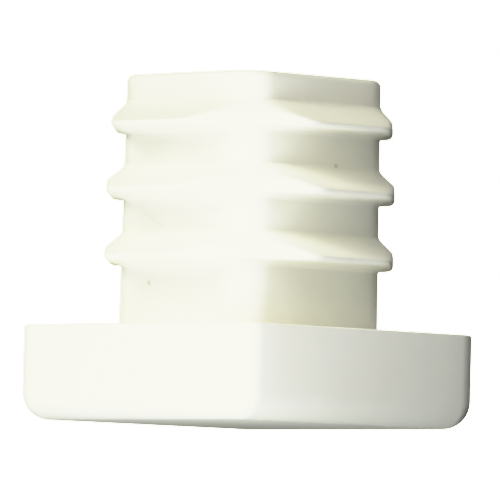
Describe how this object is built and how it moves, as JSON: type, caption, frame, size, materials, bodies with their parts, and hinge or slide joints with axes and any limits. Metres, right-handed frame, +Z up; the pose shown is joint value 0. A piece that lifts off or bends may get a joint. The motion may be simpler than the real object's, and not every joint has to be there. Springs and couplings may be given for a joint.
{
  "type": "square push-in anchor plug",
  "caption": "Square push-in plug of white moulded plastic: thick square head and a hollow square stem with barbed collars that grip inside a square hole or tube.",
  "frame": {"origin": "middle of the head's flat underside", "axes": "+Z up the stem, away from the head; +X and +Y square to the head's sides"},
  "size_m": [0.03, 0.03, 0.0312],
  "materials": {
    "white_plastic": "cream-white natural moulded plastic, satin, slightly translucent"
  },
  "bodies": {
    "root": {"head": "white_plastic", "stem_sleeve": "white_plastic", "barb_collar_lower": "white_plastic", "barb_collar_middle": "white_plastic", "barb_collar_upper": "white_plastic"}
  },
  "joints": []
}
